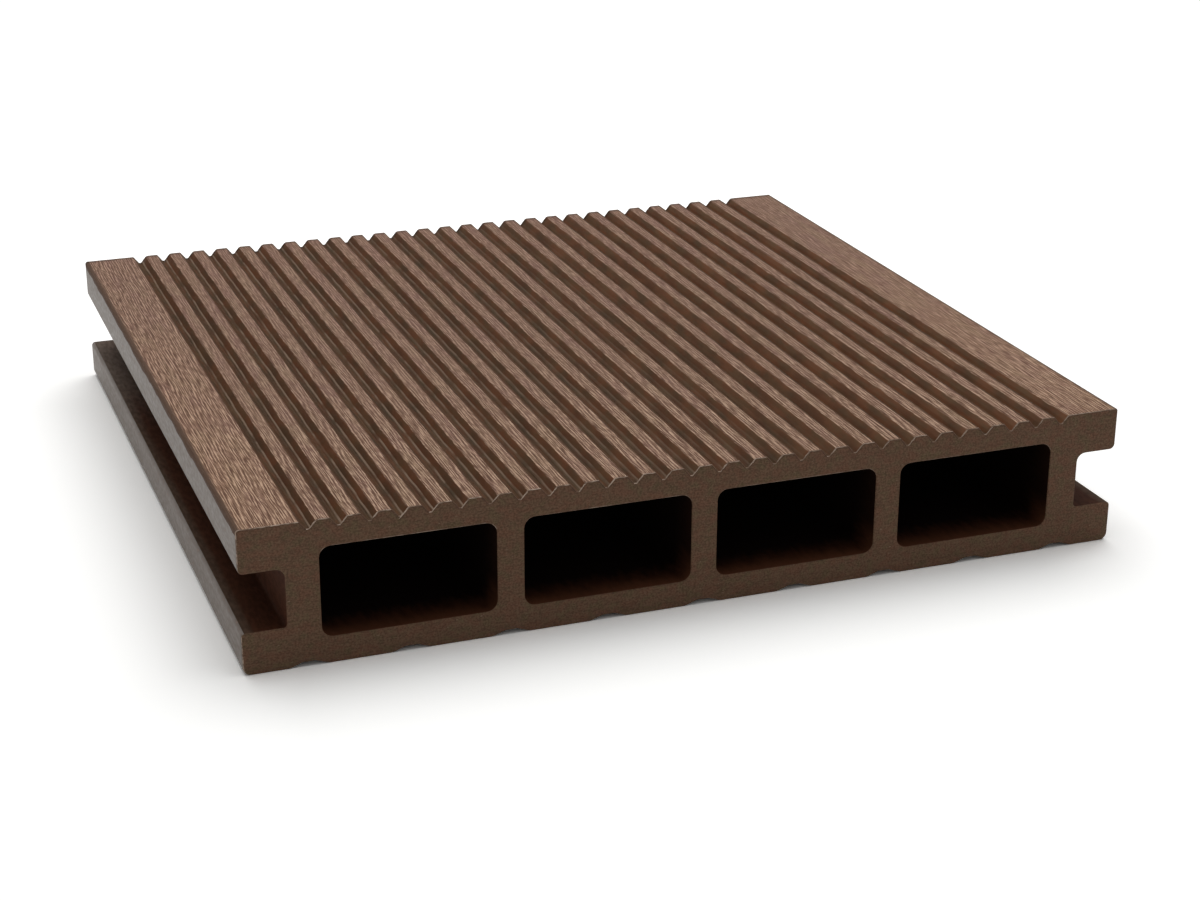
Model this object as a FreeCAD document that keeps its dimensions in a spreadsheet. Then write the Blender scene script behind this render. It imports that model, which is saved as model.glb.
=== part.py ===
import FreeCAD, Part
import math
import os

import Sketcher

# A short length of hollow decking board, extruded in one piece from wood-plastic composite.
# +X runs across the board, +Y along the extrusion away from the near cut end, +Z up.
# The origin is the middle of the underside. All sizes are in millimetres.

DIMENSIONS = {
    # the whole board
    "board_width": 150.0,
    "board_thickness": 24.0,
    "board_length": 142.0,
    "top_edge_radius": 0.5,
    "bottom_edge_radius": 1.3,
    # the slot along each side that takes the fixing clips
    "slot_depth": 7.1,
    "slot_height": 9.7,
    "slot_floor": 7.0,
    "slot_upper_back_radius": 1.5,
    "slot_lower_back_radius": 0.6,
    "slot_upper_lip_radius": 0.9,
    "slot_lower_lip_radius": 0.7,
    # the walls round and between the hollow chambers, which fill what is left
    "chamber_count": 4,
    "top_wall": 4.6,
    "bottom_wall": 4.4,
    "side_wall": 5.3,
    "web_thickness": 4.4,
    "chamber_radius": 1.8,
    # the grooves of the tread face, as many as fit between two plain edge strips
    "least_edge_strip": 9.3,
    "groove_pitch": 4.75,
    "groove_mouth": 2.9,
    "groove_root": 0.4,
    "groove_depth": 1.35,
    "groove_lip_radius": 0.35,
    # the shallow grooves of the underside, below each web and each chamber's middle
    "relief_mouth": 7.0,
    "relief_root": 2.0,
    "relief_depth": 0.75,
    "relief_lip_radius": 2.5,
}

CHAMBER_WIDTH = (
    "(Sizes.board_width - 2 * (Sizes.slot_depth + Sizes.side_wall)"
    " - (Sizes.chamber_count - 1) * Sizes.web_thickness) / Sizes.chamber_count"
)
CHAMBER_PITCH = f"({CHAMBER_WIDTH} + Sizes.web_thickness)"
CHAMBER_HEIGHT = "Sizes.board_thickness - Sizes.top_wall - Sizes.bottom_wall"
GROOVE_COUNT = (
    "(floor((Sizes.board_width - 2 * Sizes.least_edge_strip - Sizes.groove_mouth)"
    " / Sizes.groove_pitch) + 1)"
)
RELIEF_COUNT = "(2 * Sizes.chamber_count + 1)"
RELIEF_PITCH = f"{CHAMBER_PITCH} / 2"

# how a sketch numbers the points of a line or arc, and its own two axes
START, END, CENTRE = range(1, 4)
Z_AXIS, X_AXIS = range(-2, 0)
ORIGIN = (X_AXIS, START)
TOUCH = 1e-4


def write_sheet(doc):
    """The driving sizes, one row for each, with the size's name as its alias."""
    sheet = doc.addObject("Spreadsheet::Sheet", "Sizes")
    for row, (name, value) in enumerate(DIMENSIONS.items(), start=1):
        sheet.set(f"A{row}", name)
        sheet.set(f"B{row}", str(value))
        sheet.setAlias(f"B{row}", name)
    doc.recompute()
    return sheet


def section_sketch(body, name):
    """An empty sketch on the body's own XZ plane: its x is X and its y is Z."""
    plane = [item for item in body.Origin.OriginFeatures if item.Role == "XZ_Plane"][0]
    sketch = body.newObject("Sketcher::SketchObject", name)
    sketch.AttachmentSupport = [(plane, "")]
    sketch.MapMode = "FlatFace"
    return sketch


def dimension(sketch, name, kind, places, value, expression):
    """Add one driving dimension and bind it to the sheet."""
    index = sketch.addConstraint(Sketcher.Constraint(kind, *places, value))
    sketch.renameConstraint(index, name)
    sketch.setExpression(f"Constraints.{name}", expression)


def add_lines(sketch, corners):
    """Lines from each corner to the next, joined into one closed outline."""
    points = [FreeCAD.Vector(x, z, 0) for x, z in corners]
    lines = [Part.LineSegment(a, b) for a, b in zip(points, points[1:] + points[:1])]
    ids = list(sketch.addGeometry(lines, False))
    for here, after in zip(ids, ids[1:] + ids[:1]):
        sketch.addConstraint(Sketcher.Constraint("Coincident", here, END, after, START))
    return ids


def outline_of_board(body, sheet):
    """The outer section: a flat bar with a slot in each side."""
    half = sheet.board_width / 2
    back = half - sheet.slot_depth
    low = sheet.slot_floor
    high = low + sheet.slot_height
    top = sheet.board_thickness
    right = [(half, 0), (half, low), (back, low), (back, high), (half, high), (half, top)]
    left = [(-x, z) for x, z in reversed(right)]
    sketch = section_sketch(body, "BoardOutline")
    ids = add_lines(sketch, right + left)
    rise, shelf, back_wall, ceiling, cheek, tread = ids[:6]
    left_cheek, left_ceiling, left_back_wall, left_shelf, left_rise, base = ids[6:]
    for line in (shelf, ceiling, tread, left_ceiling, left_shelf):
        sketch.addConstraint(Sketcher.Constraint("Horizontal", line))
    for line in (rise, back_wall, cheek, left_cheek, left_back_wall, left_rise):
        sketch.addConstraint(Sketcher.Constraint("Vertical", line))
    sketch.addConstraint(Sketcher.Constraint("PointOnObject", base, START, X_AXIS))
    sketch.addConstraint(Sketcher.Constraint("Symmetric", base, START, base, END, Z_AXIS))
    sketch.addConstraint(Sketcher.Constraint("Vertical", rise, START, cheek, START))
    for line, mirrored in ((rise, left_rise), (shelf, left_shelf), (back_wall, left_back_wall)):
        sketch.addConstraint(Sketcher.Constraint("Equal", line, mirrored))
    sketch.addConstraint(Sketcher.Constraint("Equal", ceiling, left_ceiling))
    dimension(sketch, "width", "DistanceX", (base, START, base, END), sheet.board_width,
              "Sizes.board_width")
    dimension(sketch, "thickness", "DistanceY", (rise, START, cheek, END), top,
              "Sizes.board_thickness")
    dimension(sketch, "floor", "DistanceY", (rise, START, rise, END), low, "Sizes.slot_floor")
    dimension(sketch, "mouth", "DistanceY", (back_wall, START, back_wall, END),
              sheet.slot_height, "Sizes.slot_height")
    dimension(sketch, "depth", "DistanceX", (shelf, END, shelf, START), sheet.slot_depth,
              "Sizes.slot_depth")
    return sketch


def outline_of_chamber(body, sheet):
    """The chamber at the left end of the row: a rectangle with rounded corners.

    It is drawn roughly, across the middle, and its constraints put it in place.
    """
    right = sheet.board_width / sheet.chamber_count / 2 - sheet.web_thickness
    low = sheet.bottom_wall
    high = sheet.board_thickness - sheet.top_wall
    radius = sheet.chamber_radius
    inner = right - radius
    sketch = section_sketch(body, "ChamberOutline")
    ends = [
        ((-inner, low), (inner, low)),
        ((right, low + radius), (right, high - radius)),
        ((inner, high), (-inner, high)),
        ((-right, high - radius), (-right, low + radius)),
    ]
    line_ids = list(sketch.addGeometry([line_between(*pair) for pair in ends], False))
    base, right_wall, ceiling, left_wall = line_ids
    arcs = [
        arc_about(inner, low + radius, radius, -90, 0),
        arc_about(inner, high - radius, radius, 0, 90),
        arc_about(-inner, high - radius, radius, 90, 180),
        arc_about(-inner, low + radius, radius, 180, 270),
    ]
    arc_ids = list(sketch.addGeometry(arcs, False))
    for line, arc, after in zip(line_ids, arc_ids, line_ids[1:] + line_ids[:1]):
        sketch.addConstraint(Sketcher.Constraint("Tangent", line, END, arc, START))
        sketch.addConstraint(Sketcher.Constraint("Tangent", arc, END, after, START))
    for line in (base, ceiling):
        sketch.addConstraint(Sketcher.Constraint("Horizontal", line))
    for line in (left_wall, right_wall):
        sketch.addConstraint(Sketcher.Constraint("Vertical", line))
    for arc in arc_ids[1:]:
        sketch.addConstraint(Sketcher.Constraint("Equal", arc_ids[0], arc))
    dimension(sketch, "corner", "Radius", (arc_ids[0],), radius, "Sizes.chamber_radius")
    dimension(sketch, "width", "DistanceX", (left_wall, START, right_wall, END), 2 * right,
              CHAMBER_WIDTH)
    dimension(sketch, "height", "DistanceY", (base, START, ceiling, END), high - low,
              CHAMBER_HEIGHT)
    dimension(sketch, "floor", "DistanceY", (*ORIGIN, base, START), low, "Sizes.bottom_wall")
    dimension(sketch, "side", "DistanceX", (left_wall, START, *ORIGIN), right,
              "Sizes.board_width / 2 - Sizes.slot_depth - Sizes.side_wall")
    return sketch


def line_between(start, end):
    """A straight line between two (x, z) points."""
    return Part.LineSegment(FreeCAD.Vector(*start, 0), FreeCAD.Vector(*end, 0))


def arc_about(x, z, radius, start, end):
    """An arc about (x, z) from one angle to another, in degrees, anticlockwise."""
    circle = Part.Circle(FreeCAD.Vector(x, z, 0), FreeCAD.Vector(0, 0, 1), radius)
    return Part.ArcOfCircle(circle, math.radians(start), math.radians(end))


def outline_of_groove(body, sheet, name, face_height, count, pitch):
    """The groove at the left end of a row: sloping flanks, a flat root, rounded lips.

    Its mouth is measured where the lips' rounds begin. It is drawn across the middle of the face at the given height, and its last
    dimension moves it to the left end. One on the underside is the tread's groove
    turned over. The count and the pitch are expressions.
    """
    mouth = sheet.get(f"{name}_mouth")
    root = sheet.get(f"{name}_root")
    depth = sheet.get(f"{name}_depth")
    radius = sheet.get(f"{name}_lip_radius")
    on_top = face_height > 0
    into = -1 if on_top else 1
    reach = (mouth - root) / 2
    drop = depth - radius
    turn = math.atan2(-drop, reach) + math.acos(radius / math.hypot(reach, drop))
    touch_x = mouth / 2 - radius * math.cos(turn)
    touch_z = face_height + into * radius * (1 - math.sin(turn))
    root_z = face_height + into * depth
    centre_z = face_height + into * radius
    turn = math.degrees(turn)

    sketch = section_sketch(body, f"{name.capitalize()}Outline")
    lines = [
        line_between((mouth / 2, face_height), (-mouth / 2, face_height)),
        line_between((-touch_x, touch_z), (-root / 2, root_z)),
        line_between((-root / 2, root_z), (root / 2, root_z)),
        line_between((root / 2, root_z), (touch_x, touch_z)),
    ]
    face, left_flank, base, right_flank = sketch.addGeometry(lines, False)
    if on_top:
        arcs = [arc_about(-mouth / 2, centre_z, radius, turn, 90),
                arc_about(mouth / 2, centre_z, radius, 90, 180 - turn)]
        left_lip, left_touch, right_lip, right_touch = END, START, START, END
    else:
        arcs = [arc_about(-mouth / 2, centre_z, radius, -90, -turn),
                arc_about(mouth / 2, centre_z, radius, 180 + turn, 270)]
        left_lip, left_touch, right_lip, right_touch = START, END, END, START
    left_arc, right_arc = sketch.addGeometry(arcs, False)

    join = Sketcher.Constraint
    sketch.addConstraint(join("Coincident", face, END, left_arc, left_lip))
    sketch.addConstraint(join("Tangent", left_arc, left_touch, left_flank, START))
    sketch.addConstraint(join("Coincident", left_flank, END, base, START))
    sketch.addConstraint(join("Coincident", base, END, right_flank, START))
    sketch.addConstraint(join("Tangent", right_flank, END, right_arc, right_touch))
    sketch.addConstraint(join("Coincident", right_arc, right_lip, face, START))
    sketch.addConstraint(join("Horizontal", face))
    sketch.addConstraint(join("Horizontal", base))
    sketch.addConstraint(join("Vertical", left_arc, CENTRE, face, END))
    sketch.addConstraint(join("Vertical", right_arc, CENTRE, face, START))
    sketch.addConstraint(join("Equal", left_arc, right_arc))
    sketch.addConstraint(join("Equal", left_flank, right_flank))
    dimension(sketch, "lip", "Radius", (left_arc,), radius, f"Sizes.{name}_lip_radius")
    dimension(sketch, "mouth", "DistanceX", (face, END, face, START), mouth,
              f"Sizes.{name}_mouth")
    dimension(sketch, "root", "DistanceX", (base, START, base, END), root,
              f"Sizes.{name}_root")
    if on_top:
        dimension(sketch, "face", "DistanceY", (*ORIGIN, face, START), face_height,
                  "Sizes.board_thickness")
        dimension(sketch, "depth", "DistanceY", (base, START, face, START), depth,
                  f"Sizes.{name}_depth")
    else:
        sketch.addConstraint(join("PointOnObject", face, START, X_AXIS))
        dimension(sketch, "depth", "DistanceY", (face, START, base, START), depth,
                  f"Sizes.{name}_depth")
    dimension(sketch, "side", "DistanceX", (base, START, *ORIGIN), root / 2,
              f"{pitch} * ({count} - 1) / 2 + Sizes.{name}_root / 2")
    return sketch


def cut_row(body, sketch, name, count, pitch):
    """Cut the sketch right through the board and repeat the cut across it."""
    doc = body.Document
    before = body.Shape.Volume
    pocket = body.newObject("PartDesign::Pocket", name)
    pocket.Profile = sketch
    pocket.Type = "ThroughAll"
    pocket.SideType = "Symmetric"
    doc.recompute()
    if pocket.Shape.Volume >= before - TOUCH:
        raise ValueError(f"{name} cuts nothing")
    row = body.newObject("PartDesign::LinearPattern", f"{name}Row")
    row.Originals = [pocket]
    row.Direction = (sketch, ["H_Axis"])
    row.Mode = "Spacing"
    row.setExpression("Offset", pitch)
    row.setExpression("Occurrences", count)
    body.Tip = row
    doc.recompute()


def long_edges(feature, corners):
    """Names of the edges that run the board's length through the given corners."""
    names = []
    for number, edge in enumerate(feature.Shape.Edges, start=1):
        ends = [vertex.Point for vertex in edge.Vertexes]
        if len(ends) != 2:
            continue
        runs_along = math.hypot(ends[0].x - ends[1].x, ends[0].z - ends[1].z) < TOUCH
        at_corner = any(math.hypot(ends[0].x - x, ends[0].z - z) < TOUCH for x, z in corners)
        if runs_along and at_corner:
            names.append(f"Edge{number}")
    return names


def round_edges(body, name, corners, radius_expression):
    """Round the long edges at these corners and at their mirror images."""
    doc = body.Document
    base = body.Tip
    both_sides = corners + [(-x, z) for x, z in corners]
    names = long_edges(base, both_sides)
    if len(names) != len(both_sides):
        raise ValueError(f"{name}: {len(names)} edges for {len(both_sides)} corners")
    fillet = body.newObject("PartDesign::Fillet", name)
    fillet.Base = (base, names)
    fillet.setExpression("Radius", radius_expression)
    body.Tip = fillet
    doc.recompute()


def build_board(doc, sheet):
    """The board: one extruded section, then its rounds, chambers and grooves."""
    body = doc.addObject("PartDesign::Body", "DeckingBoard")
    body.Label = "decking_board"

    pad = body.newObject("PartDesign::Pad", "Extrusion")
    pad.Profile = outline_of_board(body, sheet)
    pad.SideType = "Symmetric"
    pad.setExpression("Length", "Sizes.board_length")
    body.Tip = pad
    doc.recompute()

    half = sheet.board_width / 2
    back = half - sheet.slot_depth
    low = sheet.slot_floor
    high = low + sheet.slot_height
    round_edges(body, "UpperSlotBacks", [(back, high)], "Sizes.slot_upper_back_radius")
    round_edges(body, "LowerSlotBacks", [(back, low)], "Sizes.slot_lower_back_radius")
    round_edges(body, "UpperSlotLips", [(half, high)], "Sizes.slot_upper_lip_radius")
    round_edges(body, "LowerSlotLips", [(half, low)], "Sizes.slot_lower_lip_radius")
    round_edges(body, "TopEdges", [(half, sheet.board_thickness)], "Sizes.top_edge_radius")
    round_edges(body, "BottomEdges", [(half, 0)], "Sizes.bottom_edge_radius")

    chamber = outline_of_chamber(body, sheet)
    cut_row(body, chamber, "Chamber", "Sizes.chamber_count", CHAMBER_PITCH)
    groove = outline_of_groove(body, sheet, "groove", sheet.board_thickness, GROOVE_COUNT,
                               "Sizes.groove_pitch")
    cut_row(body, groove, "Groove", GROOVE_COUNT, "Sizes.groove_pitch")
    relief = outline_of_groove(body, sheet, "relief", 0, RELIEF_COUNT, RELIEF_PITCH)
    cut_row(body, relief, "Relief", RELIEF_COUNT, RELIEF_PITCH)
    body.Placement = FreeCAD.Placement()
    return body


def check_document(doc, bodies):
    """Stop if any object failed to rebuild or any sub-part has no sound solid."""
    for item in doc.Objects:
        if "Invalid" in item.State or "Error" in item.State:
            raise ValueError(f"{item.Name} did not rebuild: {item.State}")
    for body in bodies:
        if body.Shape.isNull() or not body.Shape.isValid():
            raise ValueError(f"{body.Label} has no valid shape")
        if len(body.Shape.Solids) != 1:
            raise ValueError(f"{body.Label} is {len(body.Shape.Solids)} solids, not one")


def main():
    doc = FreeCAD.newDocument("decking_board")
    sheet = write_sheet(doc)
    bodies = [build_board(doc, sheet)]
    doc.recompute()
    check_document(doc, bodies)
    os.makedirs("parts", exist_ok=True)
    for body in bodies:
        body.Shape.exportStep(f"parts/{body.Label}.step")
        box = body.Shape.BoundBox
        print(body.Label, f"{box.XLength:.3f} x {box.YLength:.3f} x {box.ZLength:.3f} mm,",
              f"{body.Shape.Volume:.0f} mm3")


main()
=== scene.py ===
"""Looks of a short length of hollow, grooved decking board made of brown wood-plastic composite.

The board lies tread face up on a pale studio floor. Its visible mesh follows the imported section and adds
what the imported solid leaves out: the brushed tread, the wandering lips of the grooves, the broken edges
of the saw cuts and the slivers that the saw left on them.
"""

import math

import bpy
import numpy as np
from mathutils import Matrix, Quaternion, Vector
from mathutils.geometry import tessellate_polygon


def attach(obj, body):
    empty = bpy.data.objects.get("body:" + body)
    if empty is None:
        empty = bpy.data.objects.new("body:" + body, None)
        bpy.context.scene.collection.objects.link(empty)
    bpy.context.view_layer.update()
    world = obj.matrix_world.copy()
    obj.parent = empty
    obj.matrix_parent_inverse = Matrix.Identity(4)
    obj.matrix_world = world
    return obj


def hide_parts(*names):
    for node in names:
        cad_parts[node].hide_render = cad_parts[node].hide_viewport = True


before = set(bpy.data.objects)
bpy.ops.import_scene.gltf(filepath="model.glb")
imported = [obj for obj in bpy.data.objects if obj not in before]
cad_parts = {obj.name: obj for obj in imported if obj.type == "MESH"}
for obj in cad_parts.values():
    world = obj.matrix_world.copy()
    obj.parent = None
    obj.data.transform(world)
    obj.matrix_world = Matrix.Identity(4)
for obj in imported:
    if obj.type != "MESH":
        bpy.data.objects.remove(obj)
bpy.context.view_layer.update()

MM = 0.001
NODE = "decking_board"

# All lengths below are in millimetres unless a comment says otherwise. X runs across the board, Y along it
# from the near cut to the far one, and Z up.

# The section, as the part's source has it.
HALF_WIDTH = 75.0
THICKNESS = 24.0
HALF_LENGTH = 71.0
TOP_EDGE_RADIUS = 0.5
BOTTOM_EDGE_RADIUS = 1.3
SLOT_BACK = 67.9
SLOT_FLOOR = 7.0
SLOT_ROOF = 16.7
UPPER_BACK_RADIUS = 1.5
LOWER_BACK_RADIUS = 0.6
UPPER_LIP_RADIUS = 0.9
LOWER_LIP_RADIUS = 0.7
CHAMBER_CENTRES = (-48.6, -16.2, 16.2, 48.6)
CHAMBER_HALF_WIDTH = 14.0
CHAMBER_FLOOR = 4.4
CHAMBER_ROOF = 19.4
CHAMBER_RADIUS = 1.8
GROOVE_COUNT = 28
GROOVE_PITCH = 4.75
GROOVE_MOUTH = 2.9
GROOVE_ROOT = 0.4
GROOVE_DEPTH = 1.35
GROOVE_LIP_RADIUS = 0.35
RELIEF_COUNT = 9
RELIEF_PITCH = 16.2
RELIEF_MOUTH = 7.0
RELIEF_ROOT = 2.0
RELIEF_DEPTH = 0.75
RELIEF_LIP_RADIUS = 2.5

GROOVE_BOTTOM = THICKNESS - GROOVE_DEPTH
ROW_HALF_WIDTH = GROOVE_COUNT * GROOVE_PITCH / 2
RIBS_HALF_WIDTH = ROW_HALF_WIDTH - (GROOVE_PITCH - GROOVE_MOUTH) / 2

# How finely the mesh follows the section. The rows stand closer at the near end by the crowding.
TREAD_STEP = 0.25
FLANK_STEP = 0.6
PLAIN_STEP = 6.0
OUTSIDE_ROWS = 90
CHAMBER_ROWS = 20
NEAR_CROWDING = 0.4
ARC_PIECES = 5
LIP_PIECES = 3
SHARP_FROM = math.radians(38)

# Places closer than these count as touching, and as the same.
TOUCH = 0.02
SAME = 0.001

# The mesh's noises repeat after this many blotches.
NOISE_REPEAT = 256

# The brushed relief, which stays off a plain edge along each side. A noise is given by the length of its
# blotches across and along the board, and by its seed.
BRUSH_DEPTH = 0.03
BRUSH_SWAY = 0.10
SWAY_NOISE = (2.1, 9.0, 11)
FINE_BRUSH_NOISE = (0.55, 9.0, 12)
BROAD_BRUSH_NOISE = (1.4, 24.0, 13)
BRUSHED_DOWN_TO = THICKNESS - 0.44
BRUSHED_FULLY_FROM = THICKNESS - 0.26
PLAIN_SIDE_WIDTH = 0.6

# The grooves' lips, which the brush wore rounder on the right. They wander from a little below the grooves'
# bottom on, and fully from higher up, but not on the strips along the sides.
WORN_LIP_RADIUS = 0.7
SHARP_LIP_RADIUS = 0.28
LIP_WANDER = 0.033
LIP_NOISE = (1.3, 3.3, 21)
LIP_TREMOR_SHARE = 0.5
LIP_TREMOR_NOISE = (1.1, 1.4, 22)
WANDER_BELOW = 0.05
WANDER_FULLY_ABOVE = 0.4
STILL_STRIP_TO = 3.0
STILL_STRIP_FROM = 5.0

# The brown round along the tread's sides ends in a wavy line this far below the tread.
SIDE_EDGE_HEIGHT = 1.05
SIDE_EDGE_WANDER = 0.25
SIDE_EDGE_NOISE = (1.0, 2.3, 23)

# The cuts' broken edges, the rim of the sawn face beside them, and which of them are scuffed pale: those of
# the tread that face less to the right than the limit, and those near the sides.
EDGE_BREAK = 0.13
EDGE_UNEVENNESS = 0.55
EDGE_NOISE_ACROSS = 1.9
EDGE_NOISE_UP = 1.3
EDGE_NOISE_SLANT = 0.37
RIM_WIDTH = 0.20
SCUFF_FACING_LIMIT = 0.35
SCUFF_SIDE_WIDTH = 0.1
OUTSIDE_EDGE_SEED = 31
CHAMBER_EDGE_SEED = 41

# The saw's slivers at the near end, one in each groove. The torn groove, counted from 0 at the left, has a
# longer one. A pair is a random draw's least and most.
SLIVER_SEED = 5
SLIVER_RADIUS = 0.11
SLIVER_RADIUS_SHARES = (0.6, 1.1)
SLIVER_LUMP_SHARES = (0.6, 1.2)
SLIVER_POINTS = 8
SLIVER_SIDES = 5
SLIVER_INSET = 0.08
SLIVER_DROP = 0.12
SLIVER_SWAY = 0.04
SLIVER_PLACES = (-0.02, 0.03)
SLIVER_OVERHANGS = (-0.5, 0.35)
TORN_GROOVE = 3
TORN_OVERHANG = 0.75

# Colours, as linear red, green and blue, and tints that multiply them.
WHITE = (1.0, 1.0, 1.0)
BRUSHED_DARK = (0.122, 0.064, 0.042)
BRUSHED_MIDDLE = (0.252, 0.151, 0.102)
BRUSHED_ROSE = (0.240, 0.138, 0.101)
BRUSHED_TAN = (0.262, 0.168, 0.108)
BRUSHED_PALE = (0.52, 0.350, 0.247)
# Painted shade that darkens the tread towards the far end, and painted light on the near half of its strips.
MIDDLE_PAINTED_SHADE = (0.905, 0.897, 0.925)
FAR_PAINTED_SHADE = (0.890, 0.868, 0.900)
NEAR_STRIP_PAINTED_LIGHT = (1.06, 1.05, 1.03)
# Painted shade along the tread's far cut.
FAR_RIM_PAINTED_SHADE = (0.44, 0.43, 0.42)
SIDE_EDGE_BROWN = (0.105, 0.062, 0.042)
# The upper flanks' dark colour is partly the skin's own and partly painted shade.
SHADED_FLANK_LEFT = (0.090, 0.040, 0.0185)
SHADED_FLANK_RIGHT = (0.130, 0.066, 0.036)
LOWER_FLANK_LEFT = (0.138, 0.085, 0.054)
LOWER_FLANK_RIGHT = (0.118, 0.053, 0.026)
ROOT_BROWN = (0.072, 0.036, 0.018)
ROOT_LINE = (0.310, 0.220, 0.158)
GROOVE_DARK_TINT = (0.79, 0.82, 0.85)
GROOVE_LIGHT_TINT = (1.20, 1.17, 1.14)
GROOVE_OLIVE_TINT = (0.92, 1.02, 1.03)
GROOVE_RED_TINT = (1.09, 0.97, 0.95)
SIDE_BROWN = (0.120, 0.088, 0.068)
SIDE_GREY = (0.134, 0.104, 0.084)
# Painted shade for the slots' inner part, and painted light that greys them towards the far end.
SLOT_SHADE_BROWN = (0.058, 0.021, 0.011)
SLOT_OUTER = (0.080, 0.050, 0.034)
SLOT_FAR_LIT = (0.125, 0.090, 0.072)
SLOT_OUTER_FAR_LIT = (0.140, 0.106, 0.086)
SLOT_DARK_TINT = (0.80, 0.78, 0.76)
SLOT_LIGHT_TINT = (1.20, 1.20, 1.20)
# Painted light at the chambers' mouths, and painted shade deeper inside.
MOUTH_PAINTED_LIGHT = (0.080, 0.029, 0.014)
DEEP_PAINTED_SHADE = (0.003, 0.001, 0.0007)
SAWN_BROWN = (0.133, 0.076, 0.045)
SAWN_RED = (0.141, 0.072, 0.043)
SAWN_OLIVE = (0.124, 0.080, 0.044)
SAWN_FLECK = (0.25, 0.17, 0.12)
SAWN_DARK_TINT = (0.70, 0.68, 0.66)
SAWN_LIGHT_TINT = (1.26, 1.26, 1.26)
# Painted shadow on the sawn rim under the tread's lips.
UNDER_LIP_PAINTED_SHADOW = (0.070, 0.034, 0.021)
EDGE_PALE = (0.36, 0.265, 0.20)
BURR_PALE = (0.51, 0.395, 0.31)

# Noise in a material lies around a half, and mostly within this swing of it.
NOISE_MIDDLE = 0.5
NOISE_SWING = 0.25
NOISE_USUAL = (0.3, 0.7)

# A noise below has the length of its blotches along X, Y and Z, and its detail. Patches add a range, where
# a value begins to count and where it counts fully, and a noise that swings around zero adds its reach.

# How the brush's scratches sway, and how far along the board they are staggered for each millimetre across.
SLOW_SWAY = ((5.0, 14.0, 5.0), 0.0, 0.05)
QUICK_SWAY = ((1.8, 3.2, 3.0), 0.0, 0.02)
SCRATCH_STAGGER = 8.0

# The two sets of scratches, as the distance between their lines and their strength, and how they wander, in
# turns, and break up. Both sizes count in such distances across the board.
COARSE_SCRATCHES = (0.50, 0.17)
FINE_SCRATCHES = (0.33, 0.12)
SCRATCH_WANDER = 0.42
SCRATCH_WANDER_SIZE = (2.4, 9.0, 3.0)
SCRATCH_STRENGTH_SIZE = (1.3, 4.0, 2.0)
SCRATCH_STRENGTH_RANGE = (0.28, 0.52)
GRIT = ((0.19, 2.0, 0.7), 0.0, 0.12)
SPECKLE = ((0.26, 0.60, 0.50), 0.0, 0.12)

# The brushed colour: its patches, which scratches are dark and pale, how they fade along the board on the
# ribs and everywhere, and where its painted shade, darker towards the far end, and the painted light on the
# near half of the strips change along it.
ROSE_PATCHES = ((3.2, 11.0, 5.0), 1.0, 0.44, 0.68)
TAN_PATCHES = ((2.6, 14.0, 3.0), 1.0, 0.46, 0.70)
DARK_SCRATCH_RANGE = (0.36, 0.48)
PALE_SCRATCH_RANGE = (0.56, 0.68)
RIB_FADING = 0.30
RIB_FADING_ALONG = (-65.0, -10.0)
PLAIN_FADING = 0.12
PLAIN_FADING_ALONG = (-55.0, 60.0)
MIDDLE_SHADE_ALONG = (-65.0, 5.0)
FAR_SHADE_ALONG = (5.0, 70.0)
NEAR_STRIP_LIGHT_ALONG = (0.0, 40.0)
STRIP_BORDER = 0.5

# Where the brushed colour ends over a groove's lips, right of the groove's middle, and how far its end over
# the left lip shifts for each millimetre that the groove lies further right.
RIGHT_LIP_RANGE = (1.17, 1.28)
LEFT_LIP_RANGE = (-1.54, -1.48)
LEFT_LIP_DRIFT = -0.0022
RAGGEDNESS = ((1.6, 3.0, 3.0), 2.0, 0.07)
PALE_LIP_SPAN = (1.22, 1.30, 1.42, 1.56)
PALE_LIP_SHARE = 0.25
PALE_LIP_PATCHES = ((2.4, 8.0, 4.0), 2.0, 0.50, 0.64)
STRIP_MARGIN = 0.01

# The grooves' colours right of the groove's middle, with painted shade on the upper flank, and how they
# change across the board. The thin pale line drifts in the same way.
GROOVE_WAVER = ((3.0, 7.0, 3.0), 1.0, 0.05)
ROOT_RANGE = (0.16, 0.28)
FLANK_RANGE = (-0.04, 0.10)
FLANK_ACROSS = (-60.0, 60.0)
LOWER_FLANK_ACROSS = (-15.0, 45.0)
LINE_PLACE = 0.52
LINE_DRIFT = 0.0018
LINE_SPAN = (-0.14, -0.05, 0.04, 0.13)
LINE_PATCHES = ((3.1, 7.0, 3.0), 3.0, 0.34, 0.56)
LINE_FADING_ACROSS = (-60.0, 30.0)
GROOVE_PATCHES = ((2.0, 8.0, 4.0), 3.0, 0.30, 0.70)
GROOVE_HUE_PATCHES = ((1.1, 5.0, 3.0), 2.0, 0.36, 0.64)

# The tread's brown sides, the painted shade on its far rim, its fine skin, and its least and greatest
# roughness. A bump is a strength and a depth, and a surface below is a roughness and a specular level.
SIDE_EDGE_RANGE = (HALF_WIDTH - 0.95, HALF_WIDTH - 0.45)
FAR_RIM_WIDTH = 1.9
SKIN = ((0.30, 1.0, 0.30), 3.0)
SKIN_SHARE = 0.15
TREAD_ROUGHNESS = (0.62, 0.80)
TREAD_SPECULAR = 0.05
TREAD_BUMP = (0.9, 0.12)

# The smooth skin of the sides and the underside.
SIDE_STREAKS = ((1.5, 22.0, 1.4), 2.0, 0.36, 0.66)
SIDE_MOTTLE = ((0.8, 1.6, 0.6), 3.0)
SIDE_ROSE_RANGE = (0.62, 0.85)
SIDE_ROUGHNESS = (0.40, 0.56)
SIDE_SPECULAR = 0.35
SIDE_BUMP = (0.5, 0.05)

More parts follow.
